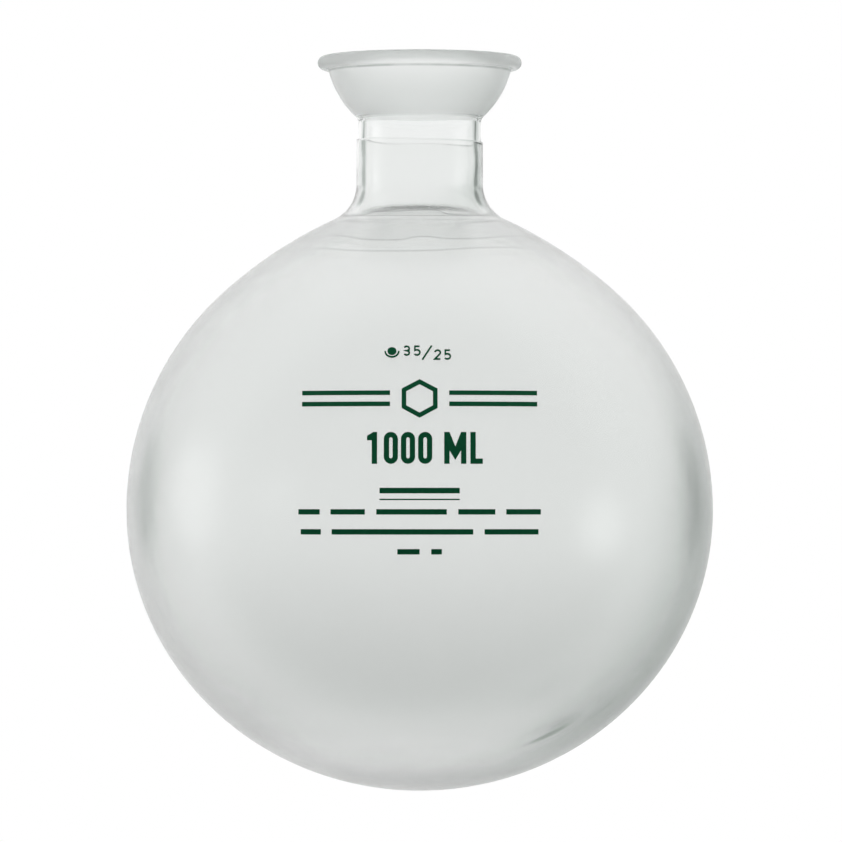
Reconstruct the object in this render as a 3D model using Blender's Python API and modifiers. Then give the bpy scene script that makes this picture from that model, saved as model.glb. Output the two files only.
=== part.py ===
"""One-litre round-bottom receiving flask: a blown glass bulb, a neck tube with a ground 35/25 spherical
socket sealed on it, a plastic safety coating over bulb and neck, and printed marks on the coating.

Metres, +Z up along the flask's axis. The origin is the centre of the ball that seats in the ground socket,
and the flask hangs below it. The printed marks face -Y.
"""

import math

import bpy

# Ground joint: a 35 mm ball on a 25 mm bore
BALL_DIAMETER = 0.035
BORE_DIAMETER = 0.025
CUP_WALL = 0.0038  # what the sphere of the cup's back adds to the ball's
CUP_BACK_Z = 0.0034  # the back's sphere is centred higher, so the wall thins towards the neck
CUP_FILLET = 0.0025  # where the cup's back runs into the neck
CUP_FOOT = 0.0005  # straight stretch below the ground seat and below the fillet
RIM_WIDTH = 0.0056  # how far the rim stands out from the ball
RIM_TOP_Z = 0.0014
RIM_BEAD_RADIUS = 0.0015
RIM_LIP_RADIUS = 0.0019  # the rounded way in

# Neck tube, flared out at its foot and sealed on the bulb
NECK_WALL = 0.0014
NECK_STRAIGHT = 0.0136  # from the cup down to where the flare starts
ROOT_FILLET = 0.0094
SEAL_TURN = 50.0  # degrees of the flare that belong to the tube

# Blown bulb, by its outer glass
BULB_DIAMETER = 0.131
BULB_WALL = 0.0022
BULB_DROP = 0.0626  # from the widest level down to the bottom
SHOULDER_START = 42.0  # degrees from the top of the sphere
SHOULDER_RADIUS = 0.0992

# Safety coating
COAT_WALL = 0.0006
COAT_NECK_WALL = 0.00025
COAT_GAP = 0.0002
COAT_LEDGE = 0.0032  # bare neck between the coating's edge and the cup

# Printed marks; u is measured round the bulb and v up it from the widest level
INK_THICKNESS = 0.0002
INK_STEP = 0.004  # longest stretch of ink between two cross-sections
CAPACITY_V = 0.0135
CAPACITY_HEIGHT = 0.0070
CAPACITY_STROKE = 0.00115
SIZE_V = 0.0358
SIZE_HEIGHT = 0.0026
SIZE_STROKE = 0.00036
SIZE_STAGGER = 0.0005  # how far the two sizes stand above and below their middle level
EMBLEM_V = 0.0247
EMBLEM_HEIGHT = 0.0088
EMBLEM_HALF_LENGTH = 0.0262
EMBLEM_STROKE = 0.0010
NOTICE_BAR = 0.0012
NOTICE_RULE = 0.0003
NOTICE_GAP = 0.0025  # between two bars of a row

GAP = 0.0003  # between pieces that touch
SEGMENTS = 48

# Levels and radii that follow from the sizes above
BALL, BORE, BULB = BALL_DIAMETER / 2, BORE_DIAMETER / 2, BULB_DIAMETER / 2
NECK = BORE + NECK_WALL
CUP_BACK = BALL + CUP_WALL
SEAT_FOOT_Z = -math.sqrt(BALL**2 - BORE**2)
FILLET_FOOT_Z = CUP_BACK_Z - math.sqrt((CUP_BACK + CUP_FILLET) ** 2 - (NECK + CUP_FILLET) ** 2)
NECK_TOP_Z = min(SEAT_FOOT_Z, FILLET_FOOT_Z) - CUP_FOOT
COAT_TOP_Z = NECK_TOP_Z - COAT_LEDGE

GLASS = ("glass", (0.93, 0.96, 0.95), 0.04, 0.9)
COAT = ("coating", (0.86, 0.88, 0.87), 0.45, 0.6)
INK = ("ink", (0.012, 0.075, 0.036), 0.5, 0.0)


def clear_scene():
    for obj in list(bpy.data.objects):
        bpy.data.objects.remove(obj, do_unlink=True)


def make_material(name, look):
    kind, colour, roughness, transmission = look
    material = bpy.data.materials.new(f"{name}_{kind}")
    material.use_nodes = True
    shader = material.node_tree.nodes["Principled BSDF"]
    shader.inputs["Base Color"].default_value = (*colour, 1.0)
    shader.inputs["Roughness"].default_value = roughness
    shader.inputs["Metallic"].default_value = 0.0
    shader.inputs["Transmission Weight"].default_value = transmission
    return material


def add_object(name, mesh, look, collection):
    obj = bpy.data.objects.new(name, mesh)
    obj.data.materials.append(make_material(name, look))
    collection.objects.link(obj)
    return obj


def arc(centre, radius, start, end, steps):
    """Points of a circular arc, from start to end in degrees, both included."""
    turns = (math.radians(start + (end - start) * i / steps) for i in range(steps + 1))
    return [(centre[0] + radius * math.cos(a), centre[1] + radius * math.sin(a)) for a in turns]


def turned(name, outline, closed, look, collection):
    """A solid of revolution. The outline runs up its inner side and down its outer side."""
    count = len(outline)
    edges = [(i, (i + 1) % count) for i in range(count if closed else count - 1)]
    mesh = bpy.data.meshes.new(name)
    mesh.from_pydata([(r, 0.0, z) for r, z in outline], edges, [])
    obj = add_object(name, mesh, look, collection)
    screw = obj.modifiers.new("turn", "SCREW")
    screw.angle = math.tau
    screw.steps = SEGMENTS
    screw.render_steps = SEGMENTS
    screw.use_merge_vertices = True
    screw.merge_threshold = 0.00001
    screw.use_smooth_shade = True
    return obj


def shoulder_and_fillet(bulb_offset, neck_offset):
    """Centre and radius of the shoulder's arc and of the fillet between it and the neck, with the bulb's
    widest level at 0, and the fillet's first angle. The shoulder carries on from the bulb's sphere."""
    shoulder = SHOULDER_RADIUS + bulb_offset
    fillet = ROOT_FILLET - neck_offset
    join = math.radians(SHOULDER_START)
    back = SHOULDER_RADIUS - BULB
    shoulder_centre = (-back * math.sin(join), -back * math.cos(join))
    reach = shoulder + fillet
    fillet_r = NECK + neck_offset + fillet
    across = fillet_r - shoulder_centre[0]
    fillet_centre = (fillet_r, shoulder_centre[1] + math.sqrt(reach**2 - across**2))
    return shoulder_centre, shoulder, fillet_centre, fillet, 270 - math.degrees(math.asin(across / reach))


BULB_Z = NECK_TOP_Z - NECK_STRAIGHT - shoulder_and_fillet(0, 0)[2][1]


def lifted(points, height):
    return [(r, z + height) for r, z in points]


def bulb_line(bulb_offset, neck_offset):
    """The bulb's outline, offset from its outer glass: from the bottom pole up to the seal."""
    shoulder_centre, shoulder, fillet_centre, fillet, start = shoulder_and_fillet(bulb_offset, neck_offset)
    radius, drop = BULB + bulb_offset, BULB_DROP + bulb_offset
    quarter = [math.radians(90 * i / 10) for i in range(10)]
    points = [(radius * math.sin(a), -drop * math.cos(a)) for a in quarter]
    points += arc((0, 0), radius, 0, 90 - SHOULDER_START, 6)
    points += arc(shoulder_centre, shoulder, 90 - SHOULDER_START, start - 180, 2)[1:]
    points += arc(fillet_centre, fillet, start, 180 + SEAL_TURN, 2)[1:]
    return lifted(points, BULB_Z)


def tube_line(bulb_offset, neck_offset, top, gap):
    """The outline from a gap above the seal up to a height on the neck."""
    _, _, centre, fillet, _ = shoulder_and_fillet(bulb_offset, neck_offset)
    seal = 180 + SEAL_TURN - math.degrees(gap / fillet)
    return lifted(arc(centre, fillet, seal, 180, 3), BULB_Z) + [(NECK + neck_offset, top)]


def make_bulb(collection):
    inside = bulb_line(-BULB_WALL, -NECK_WALL)
    return turned("bulb", inside + bulb_line(0, 0)[::-1], False, GLASS, collection)


def make_neck_tube(collection):
    inside = tube_line(-BULB_WALL, -NECK_WALL, NECK_TOP_Z, GAP)
    outside = tube_line(0, 0, NECK_TOP_Z, GAP)
    return turned("neck_tube", inside + outside[::-1], True, GLASS, collection)


def make_coating(collection):
    inner = (COAT_GAP, COAT_GAP)
    outer = (COAT_GAP + COAT_WALL, COAT_GAP + COAT_NECK_WALL)
    inside = bulb_line(*inner) + tube_line(*inner, COAT_TOP_Z, 0)[1:]
    outside = bulb_line(*outer) + tube_line(*outer, COAT_TOP_Z, 0)[1:]
    return turned("safety_coating", inside + outside[::-1], False, COAT, collection)


def crossing(centre_a, radius_a, centre_b, radius_b):
    """The lower of the two points where two circles cross."""
    across, up = centre_b[0] - centre_a[0], centre_b[1] - centre_a[1]
    span = math.hypot(across, up)
    along = (radius_a**2 - radius_b**2 + span**2) / (2 * span)
    side = math.sqrt(radius_a**2 - along**2)
    return (
        centre_a[0] + (along * across + side * up) / span,
        centre_a[1] + (along * up - side * across) / span,
    )


def angle_at(centre, point):
    return math.degrees(math.atan2(point[1] - centre[1], point[0] - centre[0]))


def make_socket_cup(collection):
    foot = NECK_TOP_Z + GAP

    # Ground seat from the bore up to the rounded lip
    lip_z = RIM_TOP_Z - RIM_LIP_RADIUS
    lip_r = math.sqrt(BALL**2 - lip_z**2)
    seat_start = angle_at((0, 0), (BORE, SEAT_FOOT_Z))
    seat_end = angle_at((0, 0), (lip_r, lip_z))
    outline = [(BORE, foot)]
    outline += arc((0, 0), BALL, seat_start, seat_end, 7)
    outline += arc((lip_r + RIM_LIP_RADIUS, lip_z), RIM_LIP_RADIUS, 180, 90, 3)[1:]

    # Rim bead down to the crease, the cup's back, and the fillet into the neck
    back = (0, CUP_BACK_Z)
    bead = (BALL + RIM_WIDTH - RIM_BEAD_RADIUS, RIM_TOP_Z - RIM_BEAD_RADIUS)
    crease = crossing(back, CUP_BACK, bead, RIM_BEAD_RADIUS)
    fillet = (NECK + CUP_FILLET, FILLET_FOOT_Z)
    slope = angle_at(back, fillet)
    outline += arc(bead, RIM_BEAD_RADIUS, 90, angle_at(bead, crease), 7)
    outline += arc(back, CUP_BACK, angle_at(back, crease), slope, 6)[1:]
    outline += arc(fillet, CUP_FILLET, 180 + slope, 180, 3)[1:]
    outline.append((NECK, foot))
    return turned("socket_cup", outline, True, GLASS, collection)


def on_coating(u, v):
    """The point just off the coating that the flat artwork's point (u, v) is wrapped to."""
    lift = COAT_GAP + COAT_WALL + GAP
    radius = BULB + lift
    latitude = v / radius
    level = radius * math.cos(latitude)
    height = (radius if v > 0 else BULB_DROP + lift) * math.sin(latitude)
    return (level * math.sin(u / level), -level * math.cos(u / level), BULB_Z + height)


def print_mark(name, points, faces, collection):
    """Ink of even thickness on the coating, from flat faces that run anticlockwise."""
    mesh = bpy.data.meshes.new(name)
    mesh.from_pydata([on_coating(u, v) for u, v in points], [], faces)
    obj = add_object(name, mesh, INK, collection)
    solidify = obj.modifiers.new("ink", "SOLIDIFY")
    solidify.thickness = INK_THICKNESS
    solidify.offset = 1.0
    return obj


def subdivided(path, closed):
    """The path with points added wherever two are further apart than the ink's longest stretch."""
    ends = path[1:] + path[:1] if closed else path[1:]
    points = []
    for a, b in zip(path, ends):
        count = max(1, math.ceil(math.dist(a, b) / INK_STEP))
        step = ((b[0] - a[0]) / count, (b[1] - a[1]) / count)
        points += [(a[0] + step[0] * i, a[1] + step[1] * i) for i in range(count)]
    return points if closed else points + [path[-1]]


def stroke(name, path, width, collection, closed=False):
    """A mark drawn as one pen stroke of even width with mitred corners."""
    path = subdivided(path, closed)
    count = len(path)
    left, right = [], []
    for i, (u, v) in enumerate(path):
        before = path[i - 1] if closed or i else path[i]
        after = path[(i + 1) % count] if closed or i < count - 1 else path[i]
        sides = []
        for a, b in ((before, (u, v)), ((u, v), after)):
            length = math.dist(a, b)
            if length:
                sides.append(((a[1] - b[1]) / length, (b[0] - a[0]) / length))
        across = (sum(s[0] for s in sides), sum(s[1] for s in sides))
        square = across[0] ** 2 + across[1] ** 2
        mitre = width / 2 * (2 if len(sides) == 2 else 1) / square
        left.append((u + across[0] * mitre, v + across[1] * mitre))
        right.append((u - across[0] * mitre, v - across[1] * mitre))
    quads = count if closed else count - 1
    faces = [(i, count + i, count + (i + 1) % count, (i + 1) % count) for i in range(quads)]
    return print_mark(name, left + right, faces, collection)


def numeral(figure, u, v, width, height):
    """The centre line of a plain numeral that fills a box centred on (u, v)."""
    half, bottom, top = width / 2, v - height / 2, v + height / 2
    if figure == "0":
        low = arc((u, bottom + half), half, 0, -180, 8)
        return low + arc((u, top - half), half, 180, 0, 8)
    if figure == "2":
        return [*arc((u, top - half), half, 165, -30, 8), (u - half, bottom), (u + half, bottom)]
    if figure == "3":
        bowl = height / 4
        return arc((u, top - bowl), bowl, 150, -90, 8) + arc((u, bottom + bowl), bowl, 90, -150, 8)[1:]
    if figure == "5":
        bowl = height * 0.3
        side = (u - half * 0.7, bottom + bowl * 1.8)
        return [(u + half, top), (u - half * 0.7, top), side, *arc((u, bottom + bowl), bowl, 90, -140, 8)]
    raise ValueError(figure)


def make_capacity(collection):
    """The volume in plain bold figures, and its unit."""
    bottom, top = CAPACITY_V - CAPACITY_HEIGHT / 2, CAPACITY_V + CAPACITY_HEIGHT / 2

    # Figure 1 as one outline: a stem with a flag at its top left
    right = -0.0092
    stem, flag = right - CAPACITY_STROKE, right - 1.9 * CAPACITY_STROKE
    tip, under = top - 0.12 * CAPACITY_HEIGHT, top - 0.26 * CAPACITY_HEIGHT
    outline = [(stem, bottom), (right, bottom), (right, top), (stem + 0.3 * CAPACITY_STROKE, top)]
    outline += [(flag, tip), (flag, under), (stem, under)]
    print_mark("capacity_figure_1", outline, [tuple(range(len(outline)))], collection)

    for place, u in enumerate((-0.0062, -0.0025, 0.0012)):
        path = numeral("0", u, CAPACITY_V, 0.0019, CAPACITY_HEIGHT - CAPACITY_STROKE)
        stroke(f"capacity_figure_{place + 2}", path, CAPACITY_STROKE, collection, closed=True)

    # Capital M as one outline: two stems and a V between them
    left, right = 0.0053, 0.0101
    middle, vee = (left + right) / 2, bottom + 0.12 * CAPACITY_HEIGHT
    stem, notch = left + CAPACITY_STROKE, 0.42 * CAPACITY_HEIGHT
    half = [(stem, top), (left, top), (left, bottom), (stem, bottom), (stem, bottom + notch)]
    outline = [(middle, vee + notch), *half, (middle, vee)]
    outline += [(left + right - u, v) for u, v in reversed(half)]
    print_mark("capacity_unit_1", outline, [tuple(range(len(outline)))], collection)

    edge = CAPACITY_STROKE / 2
    base = bottom + edge
    path = [(0.0110 + edge, top), (0.0110 + edge, base), (0.0137, base)]
    stroke("capacity_unit_2", path, CAPACITY_STROKE, collection)


def make_joint_size(collection):
    """A plain ball seated in a socket, then the ball's size, a slash, and the bore's size set lower."""
    width, height = 0.0012, SIZE_HEIGHT - SIZE_STROKE
    upper, lower = SIZE_V + SIZE_STAGGER, SIZE_V - SIZE_STAGGER
    seat = (-0.0060, SIZE_V + 0.0004)
    ball = arc(seat, 0.0010, 0, 330, 11)
    print_mark("size_mark_ball", ball, [tuple(range(len(ball)))], collection)
    stroke("size_mark_socket", arc(seat, 0.0015, 180, 360, 8), SIZE_STROKE, collection)
    figures = (("3", -0.0028, upper), ("5", -0.0006, upper), ("2", 0.0039, lower), ("5", 0.0060, lower))
    for place, (figure, u, v) in enumerate(figures):
        path = numeral(figure, u, v, width, height)
        stroke(f"size_figure_{place + 1}", path, SIZE_STROKE, collection)
    slash_u, reach, lean = 0.0016, 0.0018, 0.0010
    slash = [(slash_u - lean, SIZE_V - reach), (slash_u + lean, SIZE_V + reach)]
    stroke("size_slash", slash, SIZE_STROKE, collection)


def make_emblem(collection):
    """A plain hexagon between two pairs of bars."""
    across = EMBLEM_HEIGHT / 2 - EMBLEM_STROKE / 2
    hexagon = arc((0, EMBLEM_V), across, 90, -210, 5)
    stroke("emblem_hexagon", hexagon, EMBLEM_STROKE, collection, closed=True)
    start = EMBLEM_HEIGHT / 2 + 2 * EMBLEM_STROKE
    for side, sign in (("left", -1), ("right", 1)):
        for level, v in (("upper", EMBLEM_V + 0.0013), ("lower", EMBLEM_V - 0.0013)):
            ends = sorted((sign * start, sign * EMBLEM_HALF_LENGTH))
            path = [(ends[0], v), (ends[1], v)]
            stroke(f"emblem_bar_{side}_{level}", path, EMBLEM_STROKE, collection)


def make_notice(collection):
    """Plain bars in rows, with a rule under the heading."""
    rows = (
        ("heading", 0.0042, (0.0173,)),
        ("row_1", -0.0004, (0.0049, 0.0076, 0.0152, 0.0081, 0.0079)),
        ("row_2", -0.0049, (0.0046, 0.0308, 0.0122)),
        ("row_3", -0.0094, (0.0048, 0.0023)),
    )
    for label, v, lengths in rows:
        u = -(sum(lengths) + NOTICE_GAP * (len(lengths) - 1)) / 2
        for place, length in enumerate(lengths):
            stroke(f"notice_{label}_bar_{place + 1}", [(u, v), (u + length, v)], NOTICE_BAR, collection)
            u += length + NOTICE_GAP
    rule = rows[0][2][0] / 2
    stroke("notice_rule", [(-rule, 0.0023), (rule, 0.0023)], NOTICE_RULE, collection)


def main():
    clear_scene()
    collection = bpy.data.collections.new("receiving_flask")
    bpy.context.scene.collection.children.link(collection)
    make_bulb(collection)
    make_neck_tube(collection)
    make_socket_cup(collection)
    make_coating(collection)
    make_capacity(collection)
    make_joint_size(collection)
    make_emblem(collection)
    make_notice(collection)


main()
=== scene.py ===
"""Looks of the coated round-bottom receiving flask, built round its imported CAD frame.

Metres, +Z up along the flask's axis, with the origin at the centre of the ball that seats in the socket.
The printed marks face -Y, and so does the camera. Where one clear layer lies on another, the surfaces that
face each other are index-matched, so that glass, seal and coating read as one bonded wall.
"""

import math

import bpy
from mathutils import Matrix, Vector


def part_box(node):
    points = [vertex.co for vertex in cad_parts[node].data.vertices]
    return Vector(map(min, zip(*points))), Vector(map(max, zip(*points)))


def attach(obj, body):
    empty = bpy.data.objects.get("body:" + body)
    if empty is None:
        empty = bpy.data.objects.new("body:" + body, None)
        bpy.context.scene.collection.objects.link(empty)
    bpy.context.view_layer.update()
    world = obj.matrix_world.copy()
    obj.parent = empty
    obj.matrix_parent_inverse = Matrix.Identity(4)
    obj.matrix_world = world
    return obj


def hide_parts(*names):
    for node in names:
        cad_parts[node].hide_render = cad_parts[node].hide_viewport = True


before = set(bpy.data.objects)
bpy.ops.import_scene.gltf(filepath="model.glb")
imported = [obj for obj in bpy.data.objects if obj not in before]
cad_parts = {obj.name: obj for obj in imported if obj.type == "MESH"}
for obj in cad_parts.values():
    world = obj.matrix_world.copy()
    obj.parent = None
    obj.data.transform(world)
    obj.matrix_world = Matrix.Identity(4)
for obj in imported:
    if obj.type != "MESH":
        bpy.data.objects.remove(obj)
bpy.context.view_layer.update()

# Sizes read from the frame
BULB_LOW, BULB_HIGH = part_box("bulb")
COAT_LOW, COAT_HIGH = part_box("safety_coating")
CUP_LOW, CUP_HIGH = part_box("socket_cup")
BULB_RADIUS = (BULB_HIGH[0] - BULB_LOW[0]) / 2
COAT_RADIUS = (COAT_HIGH[0] - COAT_LOW[0]) / 2
RIM_RADIUS = (CUP_HIGH[0] - CUP_LOW[0]) / 2
RIM_TOP = CUP_HIGH[2]
COAT_TOP = COAT_HIGH[2]
NECK_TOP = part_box("neck_tube")[1][2]

# Sizes that the frame's boxes don't give
BULB_DROP = 0.0626
BULB_WALL = 0.0022
SHOULDER_START = 42.0  # degrees from the top of the sphere
SHOULDER_RADIUS = 0.0992
NECK_RADIUS = 0.0139
BORE_RADIUS = 0.0125
ROOT_FILLET = 0.0094
SEAL_TURN = 50.0  # degrees of the flare that belong to the tube
BALL_RADIUS = 0.0175
CUP_BACK_RADIUS = 0.0213
CUP_BACK_Z = 0.0034
CUP_FILLET = 0.0025
RIM_BEAD = 0.0015
RIM_LIP = 0.0019
COAT_GAP = 0.0002
COAT_NECK_WALL = 0.00025
BULB_Z = BULB_LOW[2] + BULB_DROP
CREASE_Z = RIM_TOP - 2 * RIM_BEAD - 0.0003  # just under the rim's bead

# What the surfaces show up close
SEGMENTS = 288
SEAM_GAP = 0.00003
SEAT_BLEND = 2.0  # degrees of the ground seat over which it runs into the bore
CREASE_SHADE = 0.7  # how dark the painted shade line in the crease under the rim's bead is
BORE_WAVE = 0.00010  # how far the drawn bore wanders from true
EDGE_DROP = 0.0003  # how far the coating's edge hangs below its highest level
EDGE_SLANT = 0.0004  # how much lower it is on the right, and higher on the left
EDGE_RIPPLE = 0.0001
EDGE_FADE = 0.006  # height over which the bore's wander and the coating's edge settle
ON_FACE = 0.00001  # a point this close to a radius lies on it
SATIN_EDGE = (-0.0130, -0.0118)  # heights over which the socket's satin sets in
RIM_EDGE = 0.0006  # height over which the satin turns to the rim's rougher one
NECK_TONE = (-0.0350, -0.0300)  # heights over which the bulb's clear glass turns into the neck's greyer one

# Flame seal at the neck's root, drawn as wavy lines of painted shade: each line's degrees to the right of
# the front and its heights there, its half-width, and how dark it is
SEAL_SHADE_LINES = (
    (((-85, -0.0353), (-46, -0.0356), (-37, -0.0348), (-17, -0.0347), (8, -0.0344), (17, -0.0350),
      (29, -0.0357), (61, -0.0354), (85, -0.0344)), 0.00022, 0.35),
    (((-50, -0.0405), (-30, -0.0412), (-10, -0.0418), (1, -0.0410), (14, -0.0415), (50, -0.0406)),
     0.00025, 0.28),
    (((-50, -0.0434), (-10, -0.0444), (12, -0.0440), (50, -0.0433)), 0.00030, 0.18),
)
SEAL_BAND_SHADE = 0.06  # how much painted shade darkens the glass between the first two lines
SEAL_FADE = (1.5, 1.9)  # radians from the front over which the lines fade out

# Coating: heights, from low to high, over which it changes
COAT_MILK = (-0.042, -0.030)  # milky on the bulb, clearer on the neck
COAT_GLOSS = (-0.0365, -0.0320)  # satin on the bulb, glossier on the neck
COAT_RUN = (-0.148, -0.104)  # thicker the further it ran down the bulb
COAT_DRIP = (-0.156, -0.149)  # thinner again where it dripped off
COAT_PLUG = (-0.163, -0.158)  # thick at the very bottom

# Painted shade streaks on the coating, low on the bulb's right and by its shoulder: centre, direction,
# half-length, half-width, and depth of tone
SHADE_STREAK_REACH = 0.01  # how far a painted shade streak reaches through the wall
COAT_TONES = 27.0  # the depth of painted shade that is darkest; 1 is the coating's own clouding
COAT_SHADE_STREAKS = (
    ((0.0290, -0.0300, -0.1519), (0.89, 0.08, 0.45), 0.0085, 0.0016, 36.0),
    ((0.0310, -0.0315, -0.1490), (0.80, 0.10, 0.60), 0.0080, 0.0040, 13.0),
    ((0.0410, -0.0245, -0.1454), (0.80, 0.10, 0.60), 0.0065, 0.0016, 11.0),
    ((0.0270, -0.0420, -0.1385), (0.90, 0.10, 0.40), 0.0140, 0.0070, 4.0),
    ((-0.0172, -0.0250, -0.0428), (1.00, 0.00, 0.05), 0.0060, 0.0012, 4.5),
    ((0.0180, -0.0245, -0.0430), (1.00, 0.00, 0.05), 0.0065, 0.0012, 4.5),
)

# Camera
CAMERA_DISTANCE = 1.35
CAMERA_Z = -0.1009
FRAME_WIDTH = 0.19063  # what the frame takes in at the flask's axis
FRAME_CENTRE = (0.0003, -0.0812)

# Studio backdrop: between two Y of a direction its brightness runs from one value to another, faster for
# directions below, and between two Z the one run gives way to the other
BACKDROP = (-0.6, 0.5, 0.45, 1.0)
BACKDROP_BELOW = (-0.2, 0.3, 0.08, 1.0)
BELOW = (-0.6, 0.1)
DIM_HUE = (0.85, 1.0, 0.91, 1)  # the light's colour where it is dimmest
FLOOR_RADIUS = 2.5
FLOOR_Z = -0.6

# Directions, with the angles inside which each is full and past which it is gone, and its strength
DIM_SIDES = (
    ((0.62, 0.72, -0.30), 8, 42, 0.36),
    ((-0.78, 0.62, -0.05), 5, 30, 0.05),
    ((0.69, 0.72, 0.03), 4, 12, 0.70),
    ((-0.69, 0.72, 0.03), 4, 12, 0.55),
)
OVERHEAD = ((0.0, 0.55, 0.83), 10, 50, 0.10)

# Soft boxes: centre, the radii inside which each is full and past which it is gone, and its strength
SOFT_BOXES = (
    ((-0.344, 0.012, -0.077), 0.035, 0.121, 0.9),
    ((0.334, -0.114, -0.141), 0.030, 0.090, 1.0),
)


def arc(centre, radius, start, end, steps):
    """Points of a circular arc, from start to end in degrees, both included."""
    turns = (math.radians(start + (end - start) * i / steps) for i in range(steps + 1))
    return [(centre[0] + radius * math.cos(a), centre[1] + radius * math.sin(a)) for a in turns]


def line(a, b, steps):
    """Points of a straight line, after a and up to b."""
    across, up = b[0] - a[0], b[1] - a[1]
    return [(a[0] + across * i / steps, a[1] + up * i / steps) for i in range(1, steps + 1)]


def root(bulb_offset, neck_offset):
    """Centre and radius of the shoulder's arc and of the neck's fillet, and the fillet's first angle."""
    shoulder = SHOULDER_RADIUS + bulb_offset
    fillet = ROOT_FILLET - neck_offset
    join = math.radians(SHOULDER_START)
    back = SHOULDER_RADIUS - BULB_RADIUS
    shoulder_centre = (-back * math.sin(join), BULB_Z - back * math.cos(join))
    reach = shoulder + fillet
    across = NECK_RADIUS + neck_offset + fillet - shoulder_centre[0]
    fillet_centre = (shoulder_centre[0] + across, shoulder_centre[1] + math.sqrt(reach**2 - across**2))
    return shoulder_centre, shoulder, fillet_centre, fillet, 270 - math.degrees(math.asin(across / reach))


FLARE_Z = root(-BULB_WALL, BORE_RADIUS - NECK_RADIUS)[2][1]  # where the bore starts to flare


def bulb_line(bulb_offset, neck_offset):
    """The bulb's outline, offset from its outer glass, from the bottom pole up to the seal."""
    shoulder_centre, shoulder, fillet_centre, fillet, start = root(bulb_offset, neck_offset)
    radius, drop = BULB_RADIUS + bulb_offset, BULB_DROP + bulb_offset
    quarter = (math.radians(90 * i / 72) for i in range(72))
    points = [(radius * math.sin(a), BULB_Z - drop * math.cos(a)) for a in quarter]
    points += arc((0, BULB_Z), radius, 0, 90 - SHOULDER_START, 48)
    points += arc(shoulder_centre, shoulder, 90 - SHOULDER_START, start - 180, 48)[1:]
    return points + arc(fillet_centre, fillet, start, 180 + SEAL_TURN, 24)[1:]


def tube_line(bulb_offset, neck_offset, top, gap):
    """The neck's outline from a gap above the seal up to a height."""
    _, _, centre, fillet, _ = root(bulb_offset, neck_offset)
    seal = 180 + SEAL_TURN - math.degrees(gap / fillet)
    points = arc(centre, fillet, seal, 180, 32)
    points += line(points[-1], (NECK_RADIUS + neck_offset, COAT_TOP), 24)
    return points + (line(points[-1], (NECK_RADIUS + neck_offset, top), 12) if top > COAT_TOP else [])


def cup_lines():
    """The socket's outline: the bend up from the bore, the ground side to the rim, and the satin back."""
    seat_start = -math.degrees(math.acos(BORE_RADIUS / BALL_RADIUS))
    lip_z = RIM_TOP - RIM_LIP
    lip_r = math.sqrt(BALL_RADIUS**2 - lip_z**2)
    seat_end = math.degrees(math.asin(lip_z / BALL_RADIUS))
    ground = arc((0, 0), BALL_RADIUS, seat_start + SEAT_BLEND, seat_end, 48)
    ground += arc((lip_r + RIM_LIP, lip_z), RIM_LIP, 180, 90, 12)[1:]

    bead = (RIM_RADIUS - RIM_BEAD, RIM_TOP - RIM_BEAD)
    down = CUP_BACK_Z - bead[1]
    span = math.hypot(bead[0], down)
    along = (CUP_BACK_RADIUS**2 - RIM_BEAD**2 + span**2) / (2 * span)
    side = math.sqrt(CUP_BACK_RADIUS**2 - along**2)
    crease = ((along * bead[0] - side * down) / span, CUP_BACK_Z - (along * down + side * bead[0]) / span)
    on_bead = math.degrees(math.atan2(crease[1] - bead[1], crease[0] - bead[0]))
    on_back = math.degrees(math.atan2(crease[1] - CUP_BACK_Z, crease[0]))
    fillet_r = NECK_RADIUS + CUP_FILLET
    fillet_z = CUP_BACK_Z - math.sqrt((CUP_BACK_RADIUS + CUP_FILLET) ** 2 - fillet_r**2)
    slope = math.degrees(math.atan2(fillet_z - CUP_BACK_Z, fillet_r))
    polished = arc(bead, RIM_BEAD, 90, on_bead, 32)
    polished += arc((0, CUP_BACK_Z), CUP_BACK_RADIUS, on_back, slope, 40)[1:]
    polished += arc((fillet_r, fillet_z), CUP_FILLET, 180 + slope, 180, 12)[1:]

    # The bore bends into the seat round the corner where the two would meet
    corner = (BORE_RADIUS, BALL_RADIUS * math.sin(math.radians(seat_start)))
    pull = ((BORE_RADIUS, NECK_TOP), corner, ground[0])
    foot = []
    for t in (i / 16 for i in range(1, 16)):
        weights = (1 - t) ** 2, 2 * t * (1 - t), t * t
        foot.append(tuple(sum(w * p[k] for w, p in zip(weights, pull)) for k in (0, 1)))
    return foot, ground, polished


def lathe(name, outline, closed, slots, shape=None):
    """A turned mesh. The outline runs up its inner side and down its outer side, as points with the slot of
    the faces that follow each; shape moves a point by its place round the axis."""
    count = len(outline)
    verts, faces, finish, rings = [], [], [], []
    for r, z, _ in outline:
        turns = 1 if r < ON_FACE else SEGMENTS
        rings.append(range(len(verts), len(verts) + turns))
        for s in range(turns):
            a = math.tau * s / SEGMENTS
            radius, height = shape(a, r, z) if shape and turns > 1 else (r, z)
            verts.append((radius * math.cos(a), radius * math.sin(a), height))
    for i in range(count if closed else count - 1):
        low, high = rings[i], rings[(i + 1) % count]
        for s in range(SEGMENTS):
            t = (s + 1) % SEGMENTS
            if len(low) == 1:
                faces.append((high[s], high[t], low[0]))
            elif len(high) == 1:
                faces.append((high[0], low[t], low[s]))
            else:
                faces.append((high[s], high[t], low[t], low[s]))
            finish.append(slots.index(outline[i][2]))
    mesh = bpy.data.meshes.new(name)
    mesh.from_pydata(verts, [], faces)
    for material in slots:
        mesh.materials.append(material)
    mesh.polygons.foreach_set("material_index", finish)
    mesh.shade_smooth()
    obj = bpy.data.objects.new(name, mesh)
    bpy.context.scene.collection.objects.link(obj)
    return obj


def finished(points, material):
    """Outline points whose faces all have one material."""
    return [(r, z, material) for r, z in points]


# Materials


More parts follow.
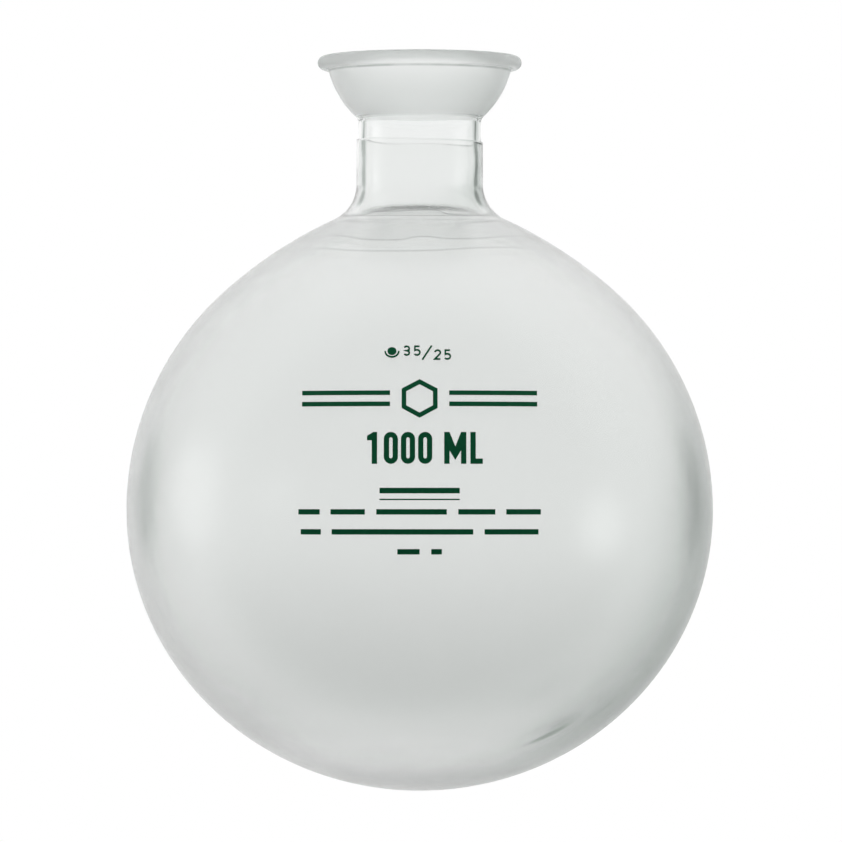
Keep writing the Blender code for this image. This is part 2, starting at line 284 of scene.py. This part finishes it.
def principled(name, ior, roughness=0.0, transmission=1.0):
    """A material, its node tree and its shader. Its colour, and what varies over it, are linked later."""
    material = bpy.data.materials.new(name)
    material.use_nodes = True
    shader = material.node_tree.nodes["Principled BSDF"]
    shader.inputs["Roughness"].default_value = roughness
    shader.inputs["Transmission Weight"].default_value = transmission
    shader.inputs["IOR"].default_value = ior
    return material, material.node_tree, shader


def node(tree, kind, settings=None, **links):
    """A node with its settings, and with its inputs set or linked by name."""
    made = tree.nodes.new(kind)
    for key, value in (settings or {}).items():
        setattr(made, key, value)
    for key, value in links.items():
        socket = made.inputs[int(key[1:])] if key[0] == "_" else made.inputs[key.replace("_", " ")]
        if isinstance(value, bpy.types.NodeSocket):
            tree.links.new(value, socket)
        else:
            socket.default_value = value
    return made


def math_node(tree, operation, *values):
    links = {f"_{i}": value for i, value in enumerate(values)}
    return node(tree, "ShaderNodeMath", {"operation": operation}, **links).outputs[0]


def smooth_ramp(tree, value, low, high, start, end):
    """start at low and below, end at high and above, with a soft turn at both."""
    ends = {"From_Min": low, "From_Max": high, "To_Min": start, "To_Max": end}
    smooth = {"interpolation_type": "SMOOTHSTEP"}
    return node(tree, "ShaderNodeMapRange", smooth, Value=value, **ends).outputs[0]


def object_place(tree):
    return node(tree, "ShaderNodeTexCoord").outputs["Object"]


def height_of(tree, place):
    return node(tree, "ShaderNodeSeparateXYZ", _0=place).outputs["Z"]


def noise(tree, place, scale, detail=3.0):
    return node(tree, "ShaderNodeTexNoise", Vector=place, Scale=scale, Detail=detail).outputs["Fac"]


def add_bump(tree, shader, height, strength, distance, under=None):
    links = {"Height": height, "Strength": strength, "Distance": distance}
    if under:
        links["Normal"] = under
    normal = node(tree, "ShaderNodeBump", **links).outputs["Normal"]
    tree.links.new(normal, shader.inputs["Normal"])
    return normal


def tinted(tree, shader, factor, low, high):
    """The base colour runs from low to high with the factor."""
    mix = node(tree, "ShaderNodeMix", {"data_type": "RGBA"}, _0=factor, _6=(*low, 1), _7=(*high, 1))
    tree.links.new(mix.outputs[2], shader.inputs["Base Color"])


def patch(tree, place, centre, along, length, width):
    """A soft streak of painted shade on the bulb, as a mask: 1 at its centre, gone at its length and width.
    """
    middle = Vector(centre)
    out = Vector((middle.x, middle.y, middle.z - BULB_Z)).normalized()
    run = Vector(along)
    run = (run - out * run.dot(out)).normalized()
    offset = node(tree, "ShaderNodeVectorMath", {"operation": "SUBTRACT"}, _0=place, _1=middle).outputs[0]
    mask = None
    for axis, reach in ((run, length), (out.cross(run), width), (out, SHADE_STREAK_REACH)):
        dot = node(tree, "ShaderNodeVectorMath", {"operation": "DOT_PRODUCT"}, _0=offset, _1=axis)
        away = math_node(tree, "ABSOLUTE", dot.outputs["Value"])
        near = smooth_ramp(tree, away, 0.0, reach, 1.0, 0.0)
        mask = near if mask is None else math_node(tree, "MULTIPLY", mask, near)
    return mask


def clear_glass():
    """Borosilicate with the faint waves that drawing and blowing leave."""
    material, tree, shader = principled("clear_glass", 1.47)
    place = object_place(tree)
    neck = smooth_ramp(tree, height_of(tree, place), *NECK_TONE, 0.0, 1.0)
    tinted(tree, shader, neck, (0.985, 0.992, 0.988), (0.965, 0.971, 0.968))
    add_bump(tree, shader, noise(tree, place, 90.0, 2.0), 0.12, 0.0004)
    return material


def seal_shade_line(tree, azimuth, height, points, width):
    """A wavy line of painted shade round the neck's root, as a mask that is 1 on it, and the line's height
    all round.
    """
    low, high = min(z for _, z in points), max(z for _, z in points)
    wave = tree.nodes.new("ShaderNodeFloatCurve")
    curve = wave.mapping.curves[0]
    ends = (points[-1][1] + points[0][1]) / 2
    for turn, z in [(-180, ends), *points, (180, ends)]:
        share = (z - low) / (high - low)
        if abs(turn) == 180:
            curve.points[0 if turn < 0 else -1].location = (0 if turn < 0 else 1, share)
        else:
            curve.points.new(turn / 360 + 0.5, share)
    wave.mapping.update()
    place = math_node(tree, "MULTIPLY_ADD", azimuth, 1 / math.tau, 0.5)
    tree.links.new(place, wave.inputs["Value"])
    level = math_node(tree, "MULTIPLY_ADD", wave.outputs[0], high - low, low)
    away = math_node(tree, "ABSOLUTE", math_node(tree, "SUBTRACT", height, level))
    return smooth_ramp(tree, away, 0.3 * width, width, 1.0, 0.0), level


def bond():
    """Where two clear layers meet. The seal between tube and bulb is drawn in it as wavy lines of painted
    shade, with a band of painted shade between the first two.
    """
    material, tree, shader = principled("bonded_glass", 1.0)
    split = node(tree, "ShaderNodeSeparateXYZ", _0=object_place(tree)).outputs
    azimuth = math_node(tree, "ARCTAN2", split["X"], math_node(tree, "MULTIPLY", split["Y"], -1.0))
    height = split["Z"]
    # Painted shade: dark wavy lines, and a darker band between the first two, tinted into the bonded
    # glass's colour
    dark = None
    levels = []
    for points, width, depth in SEAL_SHADE_LINES:
        mask, level = seal_shade_line(tree, azimuth, height, points, width)
        levels.append(level)
        faint = math_node(tree, "MULTIPLY", mask, depth)
        dark = faint if dark is None else math_node(tree, "MAXIMUM", dark, faint)
    front = smooth_ramp(tree, math_node(tree, "ABSOLUTE", azimuth), *SEAL_FADE, 1.0, 0.0)
    dark = math_node(tree, "MULTIPLY", dark, front)
    under = math_node(tree, "LESS_THAN", height, levels[0])
    over = math_node(tree, "GREATER_THAN", height, levels[1])
    band = math_node(tree, "MULTIPLY", math_node(tree, "MULTIPLY", under, over), SEAL_BAND_SHADE)
    tinted(tree, shader, math_node(tree, "MAXIMUM", dark, band), (1.0, 1.0, 1.0), (0.0, 0.02, 0.01))
    return material


def ground_glass():
    """The socket's ground seat and rim: an even matt with a fine grit."""
    material, tree, shader = principled("ground_glass", 1.47, 0.42, 0.92)
    place = object_place(tree)
    grit = noise(tree, place, 6000.0)
    tinted(tree, shader, noise(tree, place, 700.0), (0.955, 0.972, 0.962), (0.985, 0.995, 0.988))
    add_bump(tree, shader, grit, 0.25, 0.00003)
    return material


def satin_glass():
    """The socket's outside: satin on cup and rim, clearing into the neck, with a line of painted shade in
    the crease under the rim's bead.
    """
    material, tree, shader = principled("satin_glass", 1.47, transmission=0.98)
    place = object_place(tree)
    height = height_of(tree, place)
    cup = smooth_ramp(tree, height, *SATIN_EDGE, 0.0, 0.38)
    rim = smooth_ramp(tree, height, CREASE_Z, CREASE_Z + RIM_EDGE, 0.0, 0.22)
    tree.links.new(math_node(tree, "ADD", cup, rim), shader.inputs["Roughness"])
    # Painted shade: a dark line along the crease under the rim's bead, its strength varied by noise
    away = math_node(tree, "ABSOLUTE", math_node(tree, "SUBTRACT", height, CREASE_Z))
    crease = smooth_ramp(tree, away, 0.0001, 0.0004, CREASE_SHADE, 0.0)
    uneven_shade = smooth_ramp(tree, noise(tree, place, 120.0), 0.3, 0.6, 0.6, 1.0)
    tinted(tree, shader, math_node(tree, "MULTIPLY", crease, uneven_shade), (0.985, 0.995, 0.99), (0.1, 0.13, 0.11))
    add_bump(tree, shader, noise(tree, place, 2500.0), 0.10, 0.00004)
    return material


def coating():
    """Clear plastic with a faint orange-peel, milky on the bulb and clearer on the thin neck, with streaks
    of painted shade darkening its colour.
    """
    material, tree, shader = principled("safety_coating", 1.45)
    place = object_place(tree)
    height = height_of(tree, place)
    clearness = smooth_ramp(tree, height, *COAT_MILK, 0.88, 0.96)
    run = smooth_ramp(tree, height, *COAT_RUN, 0.85, 1.0)
    drip = smooth_ramp(tree, height, *COAT_DRIP, 0.13, 0.0)
    drip = math_node(tree, "MULTIPLY", drip, smooth_ramp(tree, height, *COAT_PLUG, 0.0, 1.0))
    let_by = math_node(tree, "MULTIPLY", clearness, math_node(tree, "ADD", run, drip))
    tree.links.new(let_by, shader.inputs["Transmission Weight"])
    tree.links.new(smooth_ramp(tree, height, *COAT_GLOSS, 0.22, 0.10), shader.inputs["Roughness"])
    grain = math_node(tree, "MULTIPLY", noise(tree, place, 2200.0, 1.0), 0.6)
    cloud_and_shade = math_node(tree, "ADD", grain, math_node(tree, "MULTIPLY", noise(tree, place, 60.0), 0.4))
    # Painted shade: dark streaks taken out of the coating's random clouding
    for centre, along, length, width, depth in COAT_SHADE_STREAKS:
        streak_shade = patch(tree, place, centre, along, length, width)
        cloud_and_shade = math_node(tree, "SUBTRACT", cloud_and_shade, math_node(tree, "MULTIPLY", streak_shade, depth))
    cloud_and_shade = math_node(tree, "MULTIPLY_ADD", cloud_and_shade, 1 / COAT_TONES, 1 - 1 / COAT_TONES)
    tinted(tree, shader, cloud_and_shade, (0.36, 0.41, 0.375), (0.972, 0.982, 0.975))
    peel = add_bump(tree, shader, noise(tree, place, 900.0), 0.08, 0.0001)
    add_bump(tree, shader, noise(tree, place, 35.0, 1.0), 0.10, 0.0006, peel)
    return material


def ink():
    """Screen-printed green ink, a little uneven and worn thin in specks."""
    material, tree, shader = principled("ink", 1.2, 0.65, 0.0)
    place = object_place(tree)
    tinted(tree, shader, noise(tree, place, 1400.0), (0.001, 0.080, 0.032), (0.005, 0.145, 0.060))
    add_bump(tree, shader, noise(tree, place, 4000.0), 0.2, 0.00002)
    return material


# Pieces


def coat_edge(a, r, z):
    """The dipped coating ends in an uneven line, lowest on the right, and what is near it follows."""
    if z > COAT_TOP:
        share = (NECK_TOP - z) / (NECK_TOP - COAT_TOP)
    else:
        share = 1 - (COAT_TOP - z) / EDGE_FADE
    drop = EDGE_DROP + EDGE_SLANT * math.cos(a) + EDGE_RIPPLE * math.sin(3 * a)
    return r, z - max(0.0, share) * max(0.0, drop)


def glass_shape(a, r, z):
    """The drawn bore wanders a little from true, and the bare glass starts where the coating ends."""
    if r < BORE_RADIUS + ON_FACE and z < NECK_TOP:
        near = min(1.0, (NECK_TOP - z) / EDGE_FADE, (z - FLARE_Z) / EDGE_FADE)
        fade = near * near * (3 - 2 * near)
        wave = math.sin(2 * a + 180 * z) + 0.6 * math.sin(3 * a - 310 * z + 1)
        return r + BORE_WAVE * fade * wave, z
    return coat_edge(a, r, z) if abs(r - NECK_RADIUS) < ON_FACE else (r, z)


def make_bulb(clear, bonded):
    neck_wall = NECK_RADIUS - BORE_RADIUS
    inside = bulb_line(-BULB_WALL, -neck_wall)
    outside = bulb_line(0, 0)[::-1]
    outline = finished(inside[:-1], clear) + finished(inside[-1:] + outside, bonded)
    return lathe("glass_bulb", outline, False, [clear, bonded])


def make_joint(clear, bonded, ground, satin):
    """Neck tube and socket cup, one flow of glass past their seal."""
    neck_wall = NECK_RADIUS - BORE_RADIUS
    inside = tube_line(-BULB_WALL, -neck_wall, NECK_TOP, SEAM_GAP)
    foot, seat, polished = cup_lines()
    outside = tube_line(0, 0, NECK_TOP, SEAM_GAP)[::-1]
    bare = [p for p in outside if p[1] > COAT_TOP + ON_FACE]
    coated = outside[len(bare):]
    outline = finished(inside + foot[:8], clear) + finished(foot[8:] + seat, ground)
    outline += finished(polished, satin) + finished(bare, clear) + finished(coated, bonded)
    return lathe("glass_joint", outline, True, [clear, bonded, ground, satin], glass_shape)


def make_coat(coat, bonded):
    wall = COAT_RADIUS - BULB_RADIUS - COAT_GAP
    inner = (COAT_GAP, COAT_GAP)
    outer = (COAT_GAP + wall, COAT_GAP + COAT_NECK_WALL)
    inside = bulb_line(*inner) + tube_line(*inner, COAT_TOP, 0)[1:]
    outside = (bulb_line(*outer) + tube_line(*outer, COAT_TOP, 0)[1:])[::-1]
    outline = finished(inside[:-1], bonded) + finished(inside[-1:] + outside, coat)
    return lathe("coat_skin", outline, False, [coat, bonded], coat_edge)


def place_piece(piece, slot, *nodes):
    """A turned piece stands still with the flask, in place of its CAD nodes."""
    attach(piece, "root")
    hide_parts(*nodes)


def finish_print(material):
    """The printed marks keep their CAD shape."""
    replaced = ("bulb", "neck_tube", "socket_cup", "safety_coating")
    for name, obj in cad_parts.items():
        if name not in replaced:
            for slot in obj.material_slots:
                slot.material = material


# Studio


def lobe(tree, direction, aim, inner, outer, strength):
    """A soft light round a direction, full inside one angle and gone past another, in degrees."""
    aim = Vector(aim).normalized()
    dot = node(tree, "ShaderNodeVectorMath", {"operation": "DOT_PRODUCT"}, _0=direction, _1=aim)
    edges = math.cos(math.radians(outer)), math.cos(math.radians(inner))
    return smooth_ramp(tree, dot.outputs["Value"], *edges, 0.0, strength)


def make_world():
    """A white backdrop behind the flask, dimmer to its sides and below."""
    world = bpy.data.worlds.new("studio")
    bpy.context.scene.world = world
    world.use_nodes = True
    tree = world.node_tree
    tree.nodes.clear()
    direction = node(tree, "ShaderNodeTexCoord").outputs["Generated"]
    split = node(tree, "ShaderNodeSeparateXYZ", _0=direction).outputs
    high = smooth_ramp(tree, split["Y"], *BACKDROP)
    low = smooth_ramp(tree, split["Y"], *BACKDROP_BELOW)
    under = smooth_ramp(tree, split["Z"], *BELOW, 1.0, 0.0)
    total = node(tree, "ShaderNodeMix", _0=under, _2=high, _3=low).outputs[0]
    for aim, inner, outer, depth in DIM_SIDES:
        shade = math_node(tree, "SUBTRACT", 1.0, lobe(tree, direction, aim, inner, outer, depth))
        total = math_node(tree, "MULTIPLY", total, shade)
    total = math_node(tree, "ADD", total, lobe(tree, direction, *OVERHEAD))
    hue = node(tree, "ShaderNodeMix", {"data_type": "RGBA"}, _0=total, _6=DIM_HUE, _7=(1, 1, 1, 1))
    lit = node(tree, "ShaderNodeBackground", Color=hue.outputs[2], Strength=total)
    seen = node(tree, "ShaderNodeBackground", Color=(1, 1, 1, 1), Strength=1.0)
    path = node(tree, "ShaderNodeLightPath").outputs["Is Camera Ray"]
    mix = node(tree, "ShaderNodeMixShader", _0=path, _1=lit.outputs[0], _2=seen.outputs[0])
    node(tree, "ShaderNodeOutputWorld", Surface=mix.outputs[0])


def make_soft_box(centre, inner, outer, strength):
    """A round light turned to the bulb, fading to its edge. It shows in the glass but not to the camera."""
    mesh = bpy.data.meshes.new("soft_box")
    rim = [(x, y, 0) for x, y in arc((0, 0), outer, 0, 360, 48)[:-1]]
    mesh.from_pydata(rim, [], [tuple(range(48))])
    material = bpy.data.materials.new("soft_box")
    material.use_nodes = True
    tree = material.node_tree
    tree.nodes.clear()
    away = node(tree, "ShaderNodeVectorMath", {"operation": "LENGTH"}, _0=object_place(tree))
    away = away.outputs["Value"]
    light = node(tree, "ShaderNodeEmission", Strength=smooth_ramp(tree, away, inner, outer, strength, 0.0))
    through = node(tree, "ShaderNodeBsdfTransparent")
    both = node(tree, "ShaderNodeAddShader", _0=light.outputs[0], _1=through.outputs[0])
    node(tree, "ShaderNodeOutputMaterial", Surface=both.outputs[0])
    mesh.materials.append(material)
    box = bpy.data.objects.new("soft_box", mesh)
    bpy.context.scene.collection.objects.link(box)
    box.location = centre
    box.rotation_mode = "QUATERNION"
    box.rotation_quaternion = (Vector((0, 0, BULB_Z)) - box.location).to_track_quat("Z", "Y")
    box.visible_camera = False


def make_floor():
    """A pale round floor well below the hanging flask."""
    mesh = bpy.data.meshes.new("floor")
    rim = [(x, y, FLOOR_Z) for x, y in arc((0, 0), FLOOR_RADIUS, 0, 360, 96)[:-1]]
    mesh.from_pydata(rim, [], [tuple(range(96))])
    material, tree, shader = principled("floor", 1.45, 0.8, 0.0)
    tinted(tree, shader, noise(tree, object_place(tree), 6.0), (0.85, 0.85, 0.84), (0.88, 0.88, 0.87))
    mesh.materials.append(material)
    floor = bpy.data.objects.new("floor", mesh)
    bpy.context.scene.collection.objects.link(floor)
    floor.visible_diffuse = False
    floor.visible_glossy = False
    floor.visible_transmission = False


def make_camera():
    data = bpy.data.cameras.new("camera")
    data.sensor_width = 36
    data.lens = 36 * CAMERA_DISTANCE / FRAME_WIDTH
    data.clip_start, data.clip_end = 0.1, 50
    camera = bpy.data.objects.new("camera", data)
    bpy.context.scene.collection.objects.link(camera)
    camera.location = (FRAME_CENTRE[0], -CAMERA_DISTANCE, CAMERA_Z)
    aim = Vector((FRAME_CENTRE[0], 0, FRAME_CENTRE[1]))
    camera.rotation_mode = "QUATERNION"
    camera.rotation_quaternion = (aim - camera.location).to_track_quat("-Z", "Y")
    bpy.context.scene.camera = camera


def set_light_paths():
    """Room for rays to cross all the walls, and plain tones."""
    scene = bpy.context.scene
    scene.view_settings.view_transform = "Standard"
    scene.cycles.max_bounces = 24
    scene.cycles.transmission_bounces = 24
    scene.cycles.glossy_bounces = 8
    scene.cycles.transparent_max_bounces = 24


make_camera()
make_world()
for soft_box in SOFT_BOXES:
    make_soft_box(*soft_box)
make_floor()
set_light_paths()
clear, bonded, ground, satin = clear_glass(), bond(), ground_glass(), satin_glass()
place_piece(make_bulb(clear, bonded), "glass", "bulb")
place_piece(make_joint(clear, bonded, ground, satin), "glass", "neck_tube", "socket_cup")
place_piece(make_coat(coating(), bonded), "coating", "safety_coating")
finish_print(ink())
